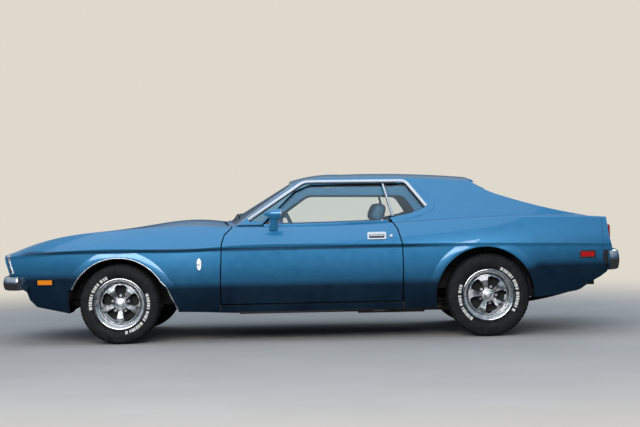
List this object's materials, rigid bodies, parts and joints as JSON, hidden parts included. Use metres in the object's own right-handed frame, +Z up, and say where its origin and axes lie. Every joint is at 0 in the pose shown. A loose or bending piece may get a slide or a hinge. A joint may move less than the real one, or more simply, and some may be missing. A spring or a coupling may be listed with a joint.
{
  "type": "two-door muscle coupe",
  "caption": "Low two-door coupe with a long hood, a roof running into rear buttresses, opening doors, hood and deck lid, steered front wheels and rolling wheels.",
  "frame": {"origin": "on the road, midway along the overall length, on the centre plane", "axes": "+X forward to the nose, +Y to the car's left, +Z up"},
  "size_m": [4.8098, 1.8864, 1.2613],
  "materials": {
    "body_paint": "metallic, slightly weathered clear coat",
    "black_trim": "satin black",
    "lamp_glass": "clear lens",
    "chrome": "polished, lightly pitted",
    "red_lens": "translucent red",
    "amber_lens": "translucent",
    "frame_steel": "black chassis paint",
    "window_glass": "lightly tinted",
    "cabin_plastic": "grained",
    "grip": "smooth rim",
    "seat_vinyl": "grained vinyl",
    "cast_metal": "bare, dusty",
    "exhaust_steel": "dull",
    "wheel_metal": "polished with dark recesses",
    "tyre_rubber": "matte"
  },
  "bodies": {
    "body": {"underbody": "body_paint", "fender_left": "body_paint", "fender_right": "body_paint", "quarter_left": "body_paint", "quarter_right": "body_paint", "roof": "body_paint", "cowl": "body_paint", "deck_filler": "body_paint", "nose_panel": "body_paint", "grille": "black_trim", "headlamps": "lamp_glass", "front_bumper": "chrome", "front_valance": "body_paint", "tail_panel": "body_paint", "tail_lamps": "red_lens", "rear_bumper": "chrome", "bumper_brackets": "frame_steel", "side_markers": "amber_lens", "windshield": "window_glass", "rear_glass": "window_glass", "quarter_glass": "window_glass", "dashboard": "cabin_plastic", "steering_column": "cabin_plastic", "front_seats": "seat_vinyl", "rear_seat": "seat_vinyl", "engine": "cast_metal", "rear_axle": "cast_metal", "front_suspension": "frame_steel", "exhaust": "exhaust_steel", "fuel_tank": "frame_steel"},
    "hood": {"hood": "body_paint"},
    "deck_lid": {"deck_lid": "body_paint"},
    "door_left": {"door_left": "body_paint", "door_glass_left": "window_glass"},
    "door_right": {"door_right": "body_paint", "door_glass_right": "window_glass"},
    "knuckle_left": {"knuckle_left": "cast_metal"},
    "knuckle_right": {"knuckle_right": "cast_metal"},
    "steering_wheel": {"steering_wheel": "grip"},
    "wheel_front_left": {"rim_front_left": "wheel_metal", "tyre_front_left": "tyre_rubber"},
    "wheel_front_right": {"rim_front_right": "wheel_metal", "tyre_front_right": "tyre_rubber"},
    "wheel_rear_left": {"rim_rear_left": "wheel_metal", "tyre_rear_left": "tyre_rubber"},
    "wheel_rear_right": {"rim_rear_right": "wheel_metal", "tyre_rear_right": "tyre_rubber"}
  },
  "joints": [
    {"name": "door_left_hinge", "type": "hinge", "parent": "body", "child": "door_left", "pos_m": [0.574, 0.914, 0.58], "axis": [0, 0, -1], "range_deg": [0, 60]},
    {"name": "door_right_hinge", "type": "hinge", "parent": "body", "child": "door_right", "pos_m": [0.574, -0.914, 0.58], "axis": [0, 0, 1], "range_deg": [0, 60]},
    {"name": "hood_hinge", "type": "hinge", "parent": "body", "child": "hood", "pos_m": [0.735, 0, 0.856], "axis": [0, -1, 0], "range_deg": [0, 55]},
    {"name": "deck_lid_hinge", "type": "hinge", "parent": "body", "child": "deck_lid", "pos_m": [-1.649, 0, 0.893], "axis": [0, 1, 0], "range_deg": [0, 60]},
    {"name": "steer_left", "type": "hinge", "parent": "body", "child": "knuckle_left", "pos_m": [1.45, 0.681, 0.302], "axis": [0, 0, 1], "range_deg": [-32, 32]},
    {"name": "steer_right", "type": "hinge", "parent": "body", "child": "knuckle_right", "pos_m": [1.45, -0.681, 0.302], "axis": [0, 0, 1], "range_deg": [-32, 32]},
    {"name": "steering_wheel_turn", "type": "hinge", "parent": "body", "child": "steering_wheel", "pos_m": [0.124, 0.37, 0.79], "axis": [-0.9135, 0, 0.4067], "range_deg": [-322, 322]},
    {"name": "wheel_front_left_spin", "type": "hinge", "parent": "knuckle_left", "child": "wheel_front_left", "pos_m": [1.45, 0.781, 0.302], "axis": [0, 1, 0], "continuous": true},
    {"name": "wheel_front_right_spin", "type": "hinge", "parent": "knuckle_right", "child": "wheel_front_right", "pos_m": [1.45, -0.781, 0.302], "axis": [0, 1, 0], "continuous": true},
    {"name": "wheel_rear_left_spin", "type": "hinge", "parent": "body", "child": "wheel_rear_left", "pos_m": [-1.319, 0.7745, 0.312], "axis": [0, 1, 0], "continuous": true},
    {"name": "wheel_rear_right_spin", "type": "hinge", "parent": "body", "child": "wheel_rear_right", "pos_m": [-1.319, -0.7745, 0.312], "axis": [0, 1, 0], "continuous": true}
  ],
  "couplings": [
    {"joint": "steer_right", "follows": "steer_left", "ratio": 1},
    {"joint": "steering_wheel_turn", "follows": "steer_left", "ratio": 10}
  ]
}
